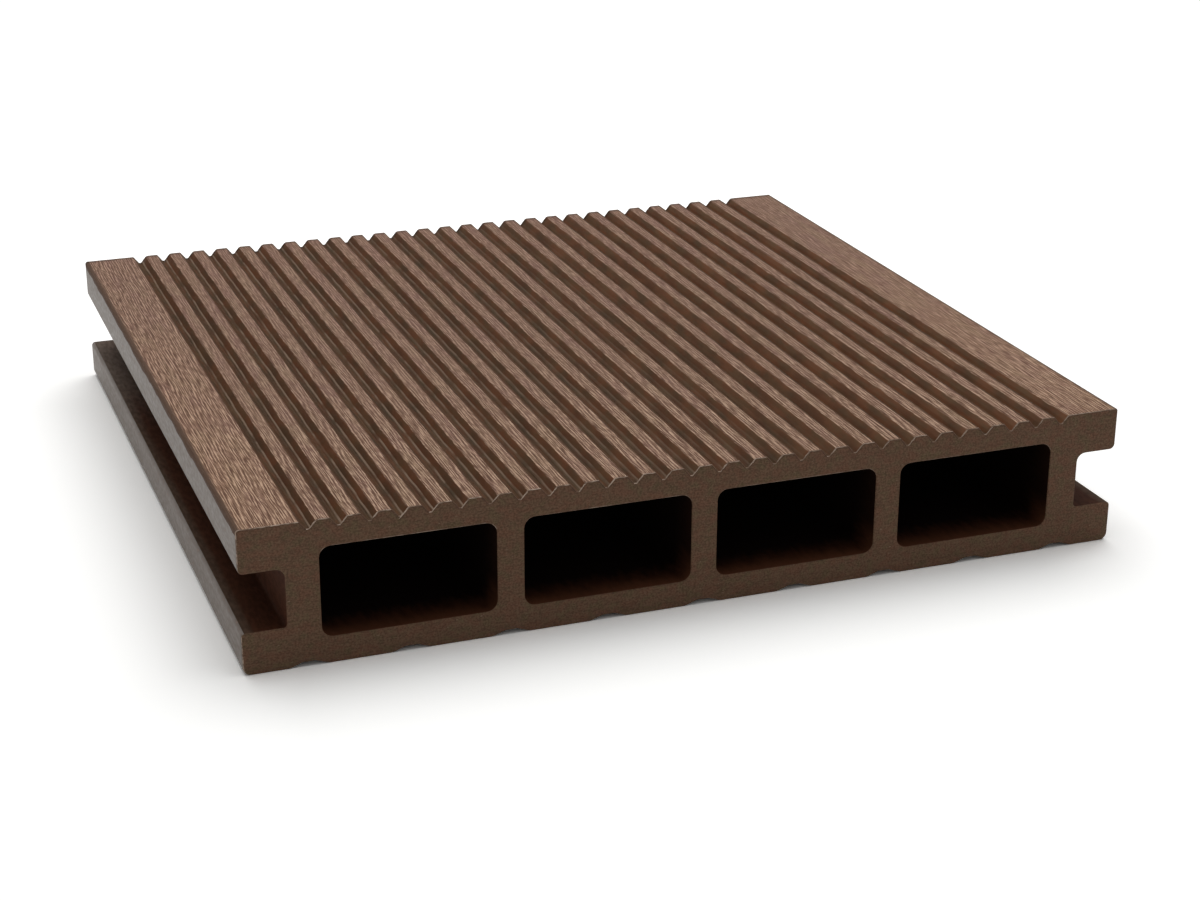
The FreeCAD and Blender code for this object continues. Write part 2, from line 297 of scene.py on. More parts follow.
# The slots, with painted shade deep inside under their upper lip, and painted light that turns them greyer
# towards the far end, and how far along the board it does.
SLOT_STREAKS = ((1.2, 18.0, 1.2), 2.0)
SLOT_STREAK_REACH = 0.5
SLOT_OUTER_RANGE = (HALF_WIDTH - 2.6, HALF_WIDTH - 0.6)
SLOT_MOTTLE = ((0.7, 2.2, 0.7), 3.0)
SLOT_MOTTLE_RANGE = (0.32, 0.68)
FAR_LIGHT_ALONG = (15.0, 55.0)
FAR_LIGHT_STREAK_REACH = 3.0
FAR_LIGHT_OUTER_RANGE = (HALF_WIDTH - 4.0, HALF_WIDTH - 0.8)
SLOT_SURFACE = (0.70, 0.03)
SLOT_BUMP = (0.5, 0.06)

# The chambers' walls: nearly black by painted shade, with painted reddish light this far in from their mouths
# and up from their floors.
MOUTH_NOISE = ((1.2, 3.5, 1.2), 3.0)
MOUTH_LIGHT_REACH = 1.3
MOUTH_LIGHT_IN_RANGE = (0.0, 8.0)
MOUTH_LIGHT_UP_RANGE = (CHAMBER_FLOOR + 0.4, CHAMBER_FLOOR + 5.5)
MOUTH_LIGHT_LOST_ABOVE = 0.90
INSIDE_SURFACE = (0.9, 0.04)
INSIDE_BUMP = (0.4, 0.08)

# The sawn faces: their grain, which adds its noise's roughness, marks that the saw drew across, blotches,
# pale fibres, and a painted shadow on the rim under the tread's lips.
SAWN_GRAIN = ((0.34, 0.34, 0.30), 3.0, 0.60)
SAWN_GRAIN_SHARE = 0.8
SAWN_MARKS = ((3.0, 0.3, 0.24), 2.0)
SAWN_MARK_SHARE = 0.2
SAWN_TEXTURE_RANGE = (0.34, 0.66)
SAWN_BLOTCHES = ((1.7, 1.7, 1.4), 3.0)
SAWN_BROWN_RANGE = (0.38, 0.50)
SAWN_OLIVE_RANGE = (0.53, 0.64)
SAWN_FIBRES = ((0.8, 0.25, 0.20), 1.0, 0.68, 0.82)
UNDER_LIP_SHADOW_SHARE = 0.75
UNDER_LIP_SHADOW_RANGE = (GROOVE_BOTTOM - 0.5, GROOVE_BOTTOM)
SAWN_SURFACE = (0.82, 0.25)
SAWN_BUMP = (0.7, 0.08)

# The broken edges and the slivers, which lose this share of their pale colour across the board.
SCUFFS = ((0.9, 0.3, 0.6), 3.0, 0.40, 0.62)
EDGE_SURFACE = (0.6, 0.4)
BURR_PATCHES = ((0.2, 0.2, 0.2), 2.0, 0.35, 0.65)
BURR_SURFACE = (0.7, 0.25)
PALE_LOSS = 0.45
PALE_LOSS_ACROSS = (-30.0, 40.0)

# The photograph's camera, the floor and the lamp, in metres and watts. The floor that is seen is brighter by
# the gain, and turns plain white between two distances, in millimetres, from the board's middle.
CAMERA_AT = Vector((-0.1337, -0.3815, 0.1614))
CAMERA_AIM = Vector((-0.0030, -0.0313, 0.0120))
CAMERA_ROLL = math.radians(0.246)
CAMERA_LENS = 69.5
SENSOR_WIDTH = 36.0
CLIP_START = 0.01
FLOOR_SIZE = 6.0
FLOOR_COLOUR = (0.84, 0.84, 0.83)
FLOOR_SURFACE = (0.9, 0.1)
FLOOR_SEEN_GAIN = 0.57
FLOOR_WHITE_DISTANCES = (220.0, 550.0)
WORLD_LIGHT = 0.28
LAMP_AT = Vector((0.12, 0.30, 0.95))
LAMP_AIM = Vector((0.0, 0.0, 0.0))
LAMP_SIZE = 1.25
LAMP_POWER = 9.5

# The board's materials, by their places in its list.
TREAD, SMOOTH, SLOT, INSIDE, SAWN, EDGE, BURR = range(7)

# The sockets of Blender's mix node when it mixes colours.
MIX_SHARE, MIX_FIRST, MIX_SECOND, MIX_RESULT = 0, 6, 7, 2


def smooth_step(low, high, value):
    """0 below low, 1 above high, and a smooth rise between them."""
    share = np.clip((value - low) / (high - low), 0.0, 1.0)
    return share * share * (3.0 - 2.0 * share)


def lattice_noise(u, v, seed):
    """Smooth noise from -1 to 1 with one blotch a unit, the same on every run."""
    table = np.random.default_rng(seed).uniform(-1.0, 1.0, (NOISE_REPEAT, NOISE_REPEAT))
    column = np.floor(u).astype(int)
    row = np.floor(v).astype(int)
    across = smooth_step(0.0, 1.0, u - column)
    along = smooth_step(0.0, 1.0, v - row)
    left = column % NOISE_REPEAT
    right = (column + 1) % NOISE_REPEAT
    low = row % NOISE_REPEAT
    high = (row + 1) % NOISE_REPEAT
    near = table[left, low] * (1 - across) + table[right, low] * across
    far = table[left, high] * (1 - across) + table[right, high] * across
    return near * (1 - along) + far * along


def board_noise(x, y, across, along, seed):
    """Noise over the board whose blotches are across and along millimetres long."""
    return lattice_noise(x / across, y / along, seed)


def corner_points(before, corner, after, radius, pieces):
    """The round that replaces a corner, or the corner itself where it has no radius."""
    corner = np.array(corner)
    if radius == 0:
        return [corner]
    to_before = (np.array(before) - corner) / np.linalg.norm(np.array(before) - corner)
    to_after = (np.array(after) - corner) / np.linalg.norm(np.array(after) - corner)
    half_angle = math.acos(np.clip(to_before @ to_after, -1.0, 1.0)) / 2
    reach = radius / math.tan(half_angle)
    middle = (to_before + to_after) / np.linalg.norm(to_before + to_after)
    centre = corner + middle * radius / math.sin(half_angle)
    first = corner + to_before * reach - centre
    last = corner + to_after * reach - centre
    sweep = math.pi - 2 * half_angle
    points = []
    for i in range(pieces + 1):
        share = i / pieces
        turned = (math.sin((1 - share) * sweep) * first + math.sin(share * sweep) * last) / math.sin(sweep)
        points.append(centre + turned)
    return points


def outline_points(corners):
    """A closed outline from corners of (x, z, radius, arc pieces, longest step on the run that follows)."""
    points = []
    count = len(corners)
    places = [(x, z) for x, z, _, _, _ in corners]
    rounds = []
    for i, (_, _, radius, pieces, _) in enumerate(corners):
        rounds.append(corner_points(places[i - 1], places[i], places[(i + 1) % count], radius, pieces))
    for i, (_, _, _, _, step) in enumerate(corners):
        points.extend(rounds[i])
        start = rounds[i][-1]
        end = rounds[(i + 1) % count][0]
        steps = math.ceil(np.linalg.norm(end - start) / step)
        for k in range(1, steps):
            points.append(start + (end - start) * k / steps)
    return np.array(points)


def side_corners(side):
    """The slotted side from the bottom up, on the right for 1 and on the left for -1."""
    edge = side * HALF_WIDTH
    back = side * SLOT_BACK
    return [
        (edge, 0.0, BOTTOM_EDGE_RADIUS, ARC_PIECES, PLAIN_STEP),
        (edge, SLOT_FLOOR, LOWER_LIP_RADIUS, ARC_PIECES, PLAIN_STEP),
        (back, SLOT_FLOOR, LOWER_BACK_RADIUS, ARC_PIECES, PLAIN_STEP),
        (back, SLOT_ROOF, UPPER_BACK_RADIUS, ARC_PIECES, PLAIN_STEP),
        (edge, SLOT_ROOF, UPPER_LIP_RADIUS, ARC_PIECES, PLAIN_STEP),
        (edge, THICKNESS - SIDE_EDGE_HEIGHT, 0.0, 1, PLAIN_STEP),
        (edge, THICKNESS, TOP_EDGE_RADIUS, ARC_PIECES, TREAD_STEP),
    ]


def groove_centres():
    """Where the grooves lie across the board, from the left."""
    first = -(GROOVE_COUNT - 1) * GROOVE_PITCH / 2
    return [first + i * GROOVE_PITCH for i in range(GROOVE_COUNT)]


def half_corner_width(mouth, root, depth, radius):
    """Half a groove's width between the corners that its lips' rounds replace.

    The mouth is measured where the rounds begin, so the corners lie a little further in.
    """
    reach = (mouth - root) / 2
    drop = depth - radius
    slope = math.pi / 2 - math.atan2(-drop, reach) - math.acos(radius / math.hypot(reach, drop))
    return mouth / 2 - radius * math.tan(slope / 2)


def groove_corners(centre):
    """One tread groove, from its right lip to its left."""
    half = half_corner_width(GROOVE_MOUTH, GROOVE_ROOT, GROOVE_DEPTH, GROOVE_LIP_RADIUS)
    return [
        (centre + half, THICKNESS, WORN_LIP_RADIUS, LIP_PIECES, FLANK_STEP),
        (centre + GROOVE_ROOT / 2, GROOVE_BOTTOM, 0.0, 1, FLANK_STEP),
        (centre - GROOVE_ROOT / 2, GROOVE_BOTTOM, 0.0, 1, FLANK_STEP),
        (centre - half, THICKNESS, SHARP_LIP_RADIUS, LIP_PIECES, TREAD_STEP),
    ]


def relief_corners(centre):
    """One shallow groove of the underside, from left to right."""
    half = half_corner_width(RELIEF_MOUTH, RELIEF_ROOT, RELIEF_DEPTH, RELIEF_LIP_RADIUS)
    return [
        (centre - half, 0.0, RELIEF_LIP_RADIUS, LIP_PIECES, PLAIN_STEP),
        (centre - RELIEF_ROOT / 2, RELIEF_DEPTH, 0.0, 1, PLAIN_STEP),
        (centre + RELIEF_ROOT / 2, RELIEF_DEPTH, 0.0, 1, PLAIN_STEP),
        (centre + half, 0.0, RELIEF_LIP_RADIUS, LIP_PIECES, PLAIN_STEP),
    ]


def board_outline():
    """The outside of the section, the way round that keeps the material on its left."""
    corners = []
    for i in range(RELIEF_COUNT):
        corners += relief_corners((i - (RELIEF_COUNT - 1) / 2) * RELIEF_PITCH)
    corners += side_corners(1)
    for centre in reversed(groove_centres()):
        corners += groove_corners(centre)
    # A run's step belongs to the corner that it starts from, so the top left corner gets the plain one.
    for x, z, radius, pieces, _ in reversed(side_corners(-1)):
        corners.append((x, z, radius, pieces, PLAIN_STEP))
    return outline_points(corners)


def chamber_outline(centre):
    """One chamber of the section, the way round that keeps the material on its left."""
    left = centre - CHAMBER_HALF_WIDTH
    right = centre + CHAMBER_HALF_WIDTH
    places = [(left, CHAMBER_FLOOR), (left, CHAMBER_ROOF), (right, CHAMBER_ROOF), (right, CHAMBER_FLOOR)]
    return outline_points([(x, z, CHAMBER_RADIUS, ARC_PIECES, PLAIN_STEP) for x, z in places])


def outward(points):
    """Unit normals of an outline, away from the material."""
    along = np.roll(points, -1, axis=0) - np.roll(points, 1, axis=0)
    normals = np.stack([along[:, 1], -along[:, 0]], axis=1)
    return normals / np.linalg.norm(normals, axis=1)[:, None]


def rows_between_ends(count):
    """Places along the board from one broken edge to the other."""
    share = np.linspace(0.0, 1.0, count)
    share = (1.0 - NEAR_CROWDING) * share + NEAR_CROWDING * share**2
    return (2 * share - 1) * (HALF_LENGTH - EDGE_BREAK)


def edge_break_at(points, seed):
    """How far each edge is broken back, a little uneven as a saw leaves it."""
    place = points[:, 0] * EDGE_NOISE_ACROSS + points[:, 1] * EDGE_NOISE_UP
    return EDGE_BREAK * (1.0 + EDGE_UNEVENNESS * lattice_noise(place, place * EDGE_NOISE_SLANT, seed))


def outside_materials(points):
    """The material of each run of the outside: the tread's on top, the slots' dull one, or the skin's."""
    middles = (points + np.roll(points, -1, axis=0)) / 2
    made = []
    for x, z in middles:
        off_side = abs(x) < HALF_WIDTH - TOUCH
        in_groove = off_side and z > GROOVE_BOTTOM - TOUCH
        in_slot = off_side and SLOT_FLOOR - TOUCH < z < SLOT_ROOF + TOUCH
        if in_groove or z > THICKNESS - SIDE_EDGE_HEIGHT:
            made.append(TREAD)
        elif in_slot:
            made.append(SLOT)
        else:
            made.append(SMOOTH)
    return made


def edge_materials(points):
    """The material of each run of the outside's broken edge: scuffed pale where it faces up or left on the
    tread, and on the sides, and plain elsewhere."""
    runs = np.roll(points, -1, axis=0) - points
    facing_right = runs[:, 1] / np.linalg.norm(runs, axis=1)
    made = []
    for material, right, x in zip(outside_materials(points), facing_right, points[:, 0]):
        if material == TREAD:
            scuffed = right < SCUFF_FACING_LIMIT
        else:
            scuffed = abs(x) > HALF_WIDTH - SCUFF_SIDE_WIDTH
        made.append(EDGE if scuffed else SAWN)
    return made


def brush_relief(x, y):
    """The brush's scratches along the board, from -1 in the deep ones to 1 on the crests."""
    swayed = x + BRUSH_SWAY * board_noise(x, y, *SWAY_NOISE)
    return (board_noise(swayed, y, *FINE_BRUSH_NOISE) + board_noise(swayed, y, *BROAD_BRUSH_NOISE)) / 2


def shaped_rows(points, places):
    """Every row of the outside, with the brushed relief, the wandering lips and the wavy side edges."""
    x = np.tile(points[:, 0], (len(places), 1))
    z = np.tile(points[:, 1], (len(places), 1))
    y = np.tile(places[:, None], (1, len(points)))
    from_middle = np.abs(x)
    on_tread = smooth_step(GROOVE_BOTTOM - WANDER_BELOW, GROOVE_BOTTOM + WANDER_FULLY_ABOVE, z)
    off_side = 1.0 - smooth_step(HALF_WIDTH - STILL_STRIP_FROM, HALF_WIDTH - STILL_STRIP_TO, from_middle)
    tremor = LIP_TREMOR_SHARE * board_noise(x, y, *LIP_TREMOR_NOISE)
    drift = LIP_WANDER * (board_noise(x, y, *LIP_NOISE) + tremor)
    off_plain_side = from_middle < HALF_WIDTH - PLAIN_SIDE_WIDTH
    brushed = smooth_step(BRUSHED_DOWN_TO, BRUSHED_FULLY_FROM, z) * off_plain_side
    sunk = BRUSH_DEPTH * (0.5 - 0.5 * brush_relief(x, y)) * brushed
    on_side_edge = np.abs(z - (THICKNESS - SIDE_EDGE_HEIGHT)) < SAME
    waver = SIDE_EDGE_WANDER * board_noise(x, y, *SIDE_EDGE_NOISE) * on_side_edge
    return np.stack([x + drift * on_tread * off_side, y, z - sunk + waver], axis=2)


class BoardMesh:
    """Collects the board's vertices, faces and painted values.

    Each vertex carries its home, its place across the board before the lips wander, and its rim, 1 where a
    broken edge meets the sawn face.
    """

    def __init__(self):
        self.vertices = []
        self.faces = []
        self.materials = []
        self.home = []
        self.rim = []

    def add_points(self, points, home=0.0, rim=0.0):
        """Adds points in millimetres and returns the number of the first."""
        first = len(self.vertices)
        count = len(points)
        self.vertices.extend((np.asarray(points) * MM).tolist())
        self.home.extend(np.broadcast_to(home, count).tolist())
        self.rim.extend(np.broadcast_to(rim, count).tolist())
        return first

    def add_face(self, corners, material):
        """Adds one face between numbered vertices."""
        self.faces.append(corners)
        self.materials.append(material)

    def join_rings(self, near, far, materials):
        """Faces between two closed rings of points; the far ring lies further along the board."""
        count = len(materials)
        for i, material in enumerate(materials):
            j = (i + 1) % count
            self.add_face((near + i, near + j, far + j, far + i), material)

    def object(self, name, materials):
        """The finished Blender object."""
        mesh = bpy.data.meshes.new(name)
        mesh.from_pydata(self.vertices, [], self.faces)
        for attribute in ("home", "rim"):
            layer = mesh.attributes.new(attribute, "FLOAT", "POINT")
            layer.data.foreach_set("value", getattr(self, attribute))
        for material in materials:
            mesh.materials.append(material)
        mesh.polygons.foreach_set("material_index", self.materials)
        mesh.shade_smooth()
        mesh.set_sharp_from_angle(angle=SHARP_FROM)
        mesh.validate()
        made = bpy.data.objects.new(name, mesh)
        bpy.context.scene.collection.objects.link(made)
        return made


def ring_at(points, offset, place):
    """An outline moved out by offset, standing at a place along the board."""
    moved = points + outward(points) * np.asarray(offset)[:, None]
    return np.stack([moved[:, 0], np.full(len(points), place), moved[:, 1]], axis=1)


def add_edges(board, points, near_row, far_row, materials, seed):
    """The broken edges of a wall at both cuts, and the rim of the cut next to them.

    Returns the first point of the near and the far rim, which bound the sawn faces.
    """
    sawn = [SAWN] * len(points)
    rims = []
    for place, row, is_near in ((-HALF_LENGTH, near_row, True), (HALF_LENGTH, far_row, False)):
        width = edge_break_at(points, seed + is_near)
        edge = board.add_points(ring_at(points, -width, place), rim=1.0)
        rim = board.add_points(ring_at(points, -width - RIM_WIDTH, place))
        if is_near:
            board.join_rings(edge, row, materials)
            board.join_rings(rim, edge, sawn)
        else:
            board.join_rings(row, edge, materials)
            board.join_rings(edge, rim, sawn)
        rims.append(rim)
    return rims


def add_outside(board, points):
    """The grooved outside with its broken edges. Returns the first point of the near and the far rim."""
    rows = shaped_rows(points, rows_between_ends(OUTSIDE_ROWS))
    starts = [board.add_points(row, home=points[:, 0]) for row in rows]
    materials = outside_materials(points)
    for near, far in zip(starts, starts[1:]):
        board.join_rings(near, far, materials)
    return add_edges(board, points, starts[0], starts[-1], edge_materials(points), OUTSIDE_EDGE_SEED)


def add_chamber(board, points, seed):
    """One chamber's wall with its broken edges, which are scuffed at the roof.

    Returns the first point of the near and the far rim.
    """
    still = np.zeros(len(points))
    starts = [board.add_points(ring_at(points, still, place)) for place in rows_between_ends(CHAMBER_ROWS)]
    for near, far in zip(starts, starts[1:]):
        board.join_rings(near, far, [INSIDE] * len(points))
    edges = [EDGE if z > CHAMBER_ROOF - CHAMBER_RADIUS / 2 else SAWN for z in points[:, 1]]
    return add_edges(board, points, starts[0], starts[-1], edges, seed)


def add_end(board, rings, faces_along):
    """The sawn face between the outside's ring and the chambers' rings.

    It faces along the board, or back towards the viewer.
    """
    numbers = []
    loops = []
    for start, count in rings:
        ring = range(start, start + count)
        numbers.extend(ring)
        loops.append([Vector(board.vertices[i]).xzy for i in ring])
    for corners in tessellate_polygon(loops):
        a, b, c = [numbers[corner] for corner in corners]
        first, second, third = [Vector(board.vertices[i]) for i in (a, b, c)]
        turned_along = (second - first).cross(third - first).y > 0
        board.add_face((a, b, c) if turned_along == faces_along else (c, b, a), SAWN)


def sliver_line(centre, overhang, rng):
    """Where the saw's sliver lies: down the right flank of a groove and a little past its root."""
    lip = np.array([centre + GROOVE_MOUTH / 2 - SLIVER_INSET, THICKNESS - SLIVER_DROP])
    root = np.array([centre + GROOVE_ROOT / 2, GROOVE_BOTTOM])
    flank = np.linalg.norm(root - lip)
    down = (root - lip) / flank
    line = []
    for i in range(SLIVER_POINTS):
        share = i / (SLIVER_POINTS - 1)
        x, z = lip + down * (flank + overhang) * share + rng.uniform(-SLIVER_SWAY, SLIVER_SWAY, 2)
        y = -HALF_LENGTH + rng.uniform(*SLIVER_PLACES)
        line.append((x, y, z))
    return np.array(line)


def add_sliver(board, line, radius, rng):
    """A thin closed sliver along a line, thickest in its middle."""
    rings = []
    for i, point in enumerate(line[1:-1], start=1):
        share = i / (len(line) - 1)
        thickness = radius * math.sin(math.pi * share) ** 0.5 * rng.uniform(*SLIVER_LUMP_SHARES)
        along = line[i + 1] - line[i - 1]
        along /= np.linalg.norm(along)
        side = np.cross(along, (0.0, 1.0, 0.0))
        ring = []
        for k in range(SLIVER_SIDES):
            turn = 2 * math.pi * k / SLIVER_SIDES
            ring.append(point + thickness * (math.cos(turn) * side + math.sin(turn) * np.array((0, 1, 0))))
        rings.append(board.add_points(ring))
    start = board.add_points([line[0]])
    end = board.add_points([line[-1]])
    for near, far in zip(rings, rings[1:]):
        board.join_rings(near, far, [BURR] * SLIVER_SIDES)
    for k in range(SLIVER_SIDES):
        following = (k + 1) % SLIVER_SIDES
        board.add_face((start, rings[0] + following, rings[0] + k), BURR)
        board.add_face((end, rings[-1] + k, rings[-1] + following), BURR)


def add_slivers(board):
    """The saw's slivers on the near end."""
    rng = np.random.default_rng(SLIVER_SEED)
    for i, centre in enumerate(groove_centres()):
        overhang = TORN_OVERHANG if i == TORN_GROOVE else rng.uniform(*SLIVER_OVERHANGS)
        radius = SLIVER_RADIUS * rng.uniform(*SLIVER_RADIUS_SHARES)
        add_sliver(board, sliver_line(centre, overhang, rng), radius, rng)


class Nodes:
    """The nodes of a material or of the world, and the place in millimetres that their noises read.

    Most methods add one step's nodes and return its output.
    """

    def __init__(self, tree, place=None):
        self.tree = tree
        self.place = place

    def put(self, value, socket):
        """Links an output to a socket, or sets the socket to a number, a vector or a colour."""
        if isinstance(value, bpy.types.NodeSocket):
            self.tree.links.new(value, socket)
        elif socket.type == "RGBA":
            socket.default_value = (*value, 1.0)
        else:
            socket.default_value = value

    def make(self, kind, inputs, **settings):
        """A node with its settings, and its inputs set or linked."""
        made = self.tree.nodes.new(kind)
        for name, value in settings.items():
            setattr(made, name, value)
        for name, value in inputs.items():
            self.put(value, made.inputs[name])
        return made

    def math(self, operation, first, *others):
        """One operation, carried on over all the values."""
        result = first
        for other in others or (0.0,):
            result = self.make("ShaderNodeMath", {0: result, 1: other}, operation=operation).outputs[0]
        return result

    def total(self, *values):
        """The sum of numbers or outputs."""
        return self.math("ADD", *values)

    def product(self, *values):
        """The product of numbers or outputs."""
        return self.math("MULTIPLY", *values)

    def vector(self, operation, first, second):
        """One operation on two vectors."""
        return self.make("ShaderNodeVectorMath", {0: first, 1: second}, operation=operation).outputs[0]

    def rest(self, share):
        """What a share leaves of 1."""
        return self.math("SUBTRACT", 1.0, share)

    def ramp(self, value, low, high):
        """0 where value is under low, 1 where it is over high, and a smooth rise between them."""
        inputs = {"Value": value, "From Min": low, "From Max": high}
        return self.make("ShaderNodeMapRange", inputs, interpolation_type="SMOOTHSTEP").outputs["Result"]

    def between(self, value, low, rise, fall, high):
        """0 outside low and high, 1 from rise to fall."""
        return self.product(self.ramp(value, low, rise), self.rest(self.ramp(value, fall, high)))

    def spread(self, value, span, least, most):
        """The value's span, spread evenly from least to most."""
        low, high = span
        inputs = {"Value": value, "From Min": low, "From Max": high, "To Min": least, "To Max": most}
        return self.make("ShaderNodeMapRange", inputs).outputs["Result"]

    def mix(self, share, first, second, blend="MIX"):
        """The first colour where share is 0 and the second where it is 1."""
        inputs = {MIX_SHARE: share, MIX_FIRST: first, MIX_SECOND: second}
        made = self.make("ShaderNodeMix", inputs, data_type="RGBA", blend_type=blend)
        return made.outputs[MIX_RESULT]

    def times(self, first, second):
        """One colour times another."""
        return self.mix(1.0, first, second, blend="MULTIPLY")

    def tinted(self, colour, share, first, second):
        """A colour times the first tint where share is 0, and times the second where it is 1."""
        return self.times(colour, self.mix(share, first, second))

    def noise(self, size, detail, roughness=0.5):
        """Noise around a half whose blotches have the given size."""
        scaled = self.vector("MULTIPLY", self.place, [1.0 / length for length in size])
        inputs = {"Vector": scaled, "Scale": 1.0, "Detail": detail, "Roughness": roughness}
        return self.make("ShaderNodeTexNoise", inputs).outputs["Fac"]

    def patches(self, size, detail, low, high):
        """A noise's patches, which count from low on and fully from high on."""
        return self.ramp(self.noise(size, detail), low, high)

    def around_zero(self, noise, reach):
        """Noise that swings about as far as reach to either side of zero."""
        return self.product(self.math("SUBTRACT", noise, NOISE_MIDDLE), reach / NOISE_SWING)

    def swing(self, size, detail, reach):
        """Noise that swings around zero."""
        return self.around_zero(self.noise(size, detail), reach)

    def part(self, axis):
        """The place's X, Y or Z."""
        return self.make("ShaderNodeSeparateXYZ", {0: self.place}).outputs[axis]

    def painted(self, name):
        """A value that the mesh carries."""
        return self.make("ShaderNodeAttribute", {}, attribute_name=name).outputs["Fac"]

    def seen_directly(self):
        """1 for what the camera sees, also in a reflection or through glass, and 0 for light."""
        path = self.make("ShaderNodeLightPath", {}).outputs
        return self.math("MAXIMUM", path["Is Camera Ray"], path["Is Glossy Ray"], path["Is Transmission Ray"])


class MaterialNodes(Nodes):
    """The nodes of a new material, with its shader. They read the surface's place on its object."""

    def __init__(self, name):
        self.material = bpy.data.materials.new(name)
        self.material.use_nodes = True
        super().__init__(self.material.node_tree)
        self.shader = self.tree.nodes["Principled BSDF"]
        in_metres = self.make("ShaderNodeTexCoord", {}).outputs["Object"]
        self.place = self.vector("MULTIPLY", in_metres, (1.0 / MM,) * 3)

    def set_surface(self, colour, roughness, specular):
        """Gives the surface its colour, its roughness and its specular level."""
        self.put(colour, self.shader.inputs["Base Color"])
        self.put(roughness, self.shader.inputs["Roughness"])
        self.put(specular, self.shader.inputs["Specular IOR Level"])

    def set_bump(self, height, strength, depth):
        """Gives the surface a bump that is so many millimetres deep."""
        bump = self.make("ShaderNodeBump", {"Height": height, "Strength": strength, "Distance": depth * MM})
        self.put(bump.outputs["Normal"], self.shader.inputs["Normal"])


def swaying(nodes):
    """The nodes with their place swaying across the board, so that scratches meander, and each column of it
    shifted along the board, so that scratches don't all start and end in line."""
    sway = nodes.total(nodes.swing(*SLOW_SWAY), nodes.swing(*QUICK_SWAY))
    shift = nodes.product(nodes.part("X"), SCRATCH_STAGGER)
    offset = nodes.make("ShaderNodeCombineXYZ", {"X": sway, "Y": shift})
    return Nodes(nodes.tree, nodes.vector("ADD", nodes.place, offset.outputs[0]))


def line_noise(nodes, distance, size):
    """Plain noise whose size across the board is counted in distances between scratch lines."""
    across, along, up = size
    return nodes.noise((across * distance, along, up), detail=0.0)


def scratch_lines(nodes, distance, strength):
    """Lines along the board, a distance apart, that wander and break up. They swing around zero."""
    wander = nodes.around_zero(line_noise(nodes, distance, SCRATCH_WANDER_SIZE), SCRATCH_WANDER)
    turns = nodes.total(nodes.math("DIVIDE", nodes.part("X"), distance), wander)
    wave = nodes.math("SINE", nodes.product(turns, 2.0 * math.pi))
    patches = nodes.ramp(line_noise(nodes, distance, SCRATCH_STRENGTH_SIZE), *SCRATCH_STRENGTH_RANGE)
    return nodes.product(wave, patches, strength)


def brush_scratches(nodes):
    """The brush's fine scratches, around a half: dark below it and pale above it."""
    grit = nodes.swing(*GRIT)
    speckle = nodes.swing(*SPECKLE)
    coarse = scratch_lines(nodes, *COARSE_SCRATCHES)
    fine = scratch_lines(nodes, *FINE_SCRATCHES)
    return nodes.total(NOISE_MIDDLE, coarse, fine, grit, speckle)


def place_in_groove(nodes):
    """How far right of the nearest groove's middle a point lies, before the lips wander.

    The plain strips count as parts of the outer ribs.
    """
    left_limit = STRIP_MARGIN - ROW_HALF_WIDTH
    home = nodes.math("MAXIMUM", nodes.painted("home"), left_limit)
    home = nodes.math("MINIMUM", home, -left_limit)
    turns = nodes.math("DIVIDE", nodes.total(home, ROW_HALF_WIDTH), GROOVE_PITCH)
    from_middle = nodes.math("SUBTRACT", nodes.math("FRACT", turns), 0.5)
    return nodes.product(from_middle, GROOVE_PITCH)


def scratched_colour(nodes, scratches):
    """Fine dark and pale scratches on brown that turns to rose and tan in patches.

    The scratches are fainter towards the far end, and more so on the ribs and the right strip.
    """
    rose = nodes.patches(*ROSE_PATCHES)
    tan = nodes.patches(*TAN_PATCHES)
    plain = nodes.mix(tan, nodes.mix(rose, BRUSHED_MIDDLE, BRUSHED_ROSE), BRUSHED_TAN)
    scratched = nodes.mix(nodes.ramp(scratches, *DARK_SCRATCH_RANGE), BRUSHED_DARK, plain)
    scratched = nodes.mix(nodes.ramp(scratches, *PALE_SCRATCH_RANGE), scratched, BRUSHED_PALE)
    along = nodes.part("Y")
    home = nodes.painted("home")
    off_left_strip = nodes.ramp(home, -RIBS_HALF_WIDTH - STRIP_BORDER, -RIBS_HALF_WIDTH + STRIP_BORDER)
    on_ribs = nodes.product(nodes.ramp(along, *RIB_FADING_ALONG), RIB_FADING, off_left_strip)
    everywhere = nodes.product(nodes.ramp(along, *PLAIN_FADING_ALONG), PLAIN_FADING)
    return nodes.mix(nodes.total(on_ribs, everywhere), scratched, plain)


def brushed_colour(nodes, scratches):
    """The scratched colour, with painted shade that darkens it towards the far end and painted light on the
    strips' near half.
    """
    along = nodes.part("Y")
    painted_shade = nodes.mix(nodes.ramp(along, *MIDDLE_SHADE_ALONG), WHITE, MIDDLE_PAINTED_SHADE)
    painted_shade = nodes.mix(nodes.ramp(along, *FAR_SHADE_ALONG), painted_shade, FAR_PAINTED_SHADE)
    from_middle = nodes.math("ABSOLUTE", nodes.painted("home"))
    on_strip = nodes.ramp(from_middle, RIBS_HALF_WIDTH - STRIP_BORDER, RIBS_HALF_WIDTH + STRIP_BORDER)
    near = nodes.product(on_strip, nodes.rest(nodes.ramp(along, *NEAR_STRIP_LIGHT_ALONG)))
    colour = nodes.times(scratched_colour(nodes, scratches), painted_shade)
    return nodes.tinted(colour, near, WHITE, NEAR_STRIP_PAINTED_LIGHT)


def groove_line(nodes, past_line):
    """The share of the thin pale line in a groove, which is broken, and fades across the board."""
    broken = nodes.patches(*LINE_PATCHES)
    fading = nodes.rest(nodes.ramp(nodes.painted("home"), *LINE_FADING_ACROSS))
    return nodes.product(nodes.between(past_line, *LINE_SPAN), broken, fading)


